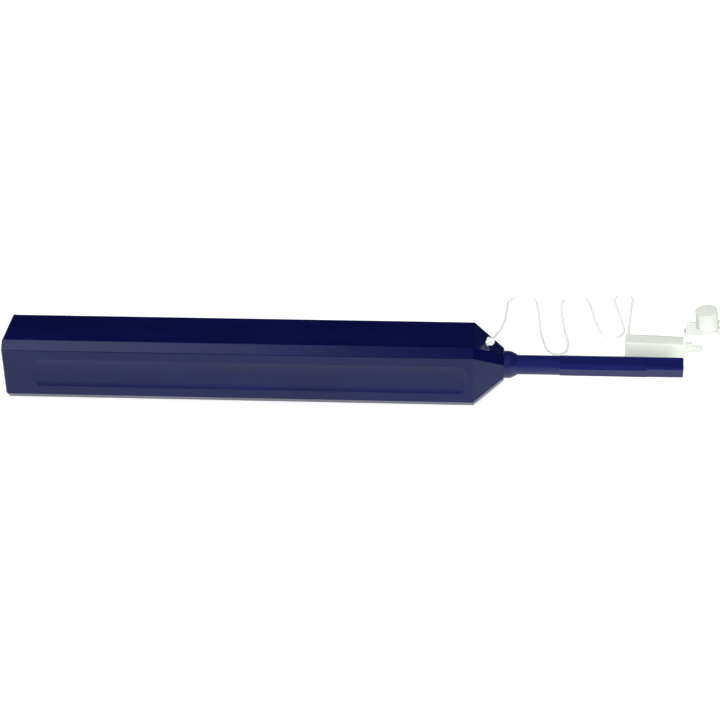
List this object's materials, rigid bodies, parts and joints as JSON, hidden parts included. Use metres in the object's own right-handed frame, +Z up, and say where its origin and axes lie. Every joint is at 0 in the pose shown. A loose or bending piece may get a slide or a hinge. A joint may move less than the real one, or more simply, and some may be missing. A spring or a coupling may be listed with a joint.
{
  "type": "fibre connector cleaning pen",
  "caption": "Push-type cleaning pen for fibre connectors: square grip body, retracting tip with thread-driven cleaning nozzle, and a tethered guide cap with hinged lid.",
  "frame": {"origin": "middle of the pen's length and width, at the bottom face it lies on", "axes": "+X along the pen towards its tip, +Y across the pen towards its guide cap, +Z up"},
  "size_m": [0.1953, 0.0646, 0.0181],
  "materials": {
    "navy_plastic": "satin navy moulding",
    "nose_plastic": "smooth navy turned or moulded",
    "tip_plastic": "smooth navy moulding",
    "clear_plastic": "milky translucent moulding",
    "cord_nylon": "translucent nylon line",
    "white_plastic": "natural acetal moulding",
    "steel": "bright steel",
    "thread_fibre": "fine woven micro-fibre"
  },
  "bodies": {
    "housing": {"main_shell": "navy_plastic", "top_cover": "navy_plastic", "rear_cap": "navy_plastic", "nose_bush": "nose_plastic", "cam_pin": "steel", "drive_rack": "white_plastic", "return_spring": "steel", "tether_cord": "cord_nylon", "cord_knot": "cord_nylon", "guide_cap": "clear_plastic"},
    "carriage": {"carriage_frame": "white_plastic", "guide_tube": "tip_plastic", "tip_guide": "tip_plastic", "supply_axle": "steel", "take_up_axle": "steel", "ratchet_pawl": "steel", "reel_brake": "steel", "thread_runs": "thread_fibre"},
    "cam_shaft": {"cam_barrel": "white_plastic", "drive_shaft": "white_plastic", "nozzle_spring": "steel"},
    "nozzle": {"cleaning_nozzle": "white_plastic", "cleaning_thread": "thread_fibre"},
    "pinion": {"drive_pinion": "white_plastic"},
    "take_up": {"take_up_reel": "white_plastic", "used_thread": "thread_fibre"},
    "supply": {"supply_reel": "white_plastic", "supply_thread": "thread_fibre"},
    "lid": {"cap_lid": "clear_plastic"}
  },
  "joints": [
    {"name": "tip_push", "type": "slide", "parent": "housing", "child": "carriage", "axis": [-1, 0, 0], "range_m": [0, 0.01], "stiffness_N_per_m": 600, "springref_m": -0.004, "deforming": ["return_spring"]},
    {"name": "cam_turn", "type": "hinge", "parent": "carriage", "child": "cam_shaft", "pos_m": [-0.0097, 0, 0.009], "axis": [1, 0, 0], "range_deg": [-184, 0]},
    {"name": "nozzle_recoil", "type": "slide", "parent": "cam_shaft", "child": "nozzle", "axis": [-1, 0, 0], "range_m": [0, 0.001], "stiffness_N_per_m": 400, "springref_m": -0.001, "deforming": ["nozzle_spring"]},
    {"name": "pinion_turn", "type": "hinge", "parent": "carriage", "child": "pinion", "pos_m": [-0.0322, 0.0045, 0.009], "axis": [0, 1, 0], "range_deg": [-147, 0]},
    {"name": "take_up_turn", "type": "hinge", "parent": "carriage", "child": "take_up", "pos_m": [-0.0322, 0, 0.009], "axis": [0, 1, 0], "range_deg": [-147, 0]},
    {"name": "supply_turn", "type": "hinge", "parent": "carriage", "child": "supply", "pos_m": [-0.0507, 0, 0.009], "axis": [0, 1, 0], "range_deg": [-89, 0]},
    {"name": "lid_hinge", "type": "hinge", "parent": "housing", "child": "lid", "pos_m": [0.09355, 0.02108, 0.0084], "axis": [0.061, 0.9981, 0], "range_deg": [0, 97], "stiffness_Nm_per_rad": 0.002}
  ],
  "couplings": [
    {"joint": "cam_turn", "follows": "tip_push", "rad_per_m": -314.16},
    {"joint": "pinion_turn", "follows": "tip_push", "rad_per_m": -250},
    {"joint": "take_up_turn", "follows": "tip_push", "rad_per_m": -250},
    {"joint": "supply_turn", "follows": "tip_push", "rad_per_m": -150.94}
  ]
}
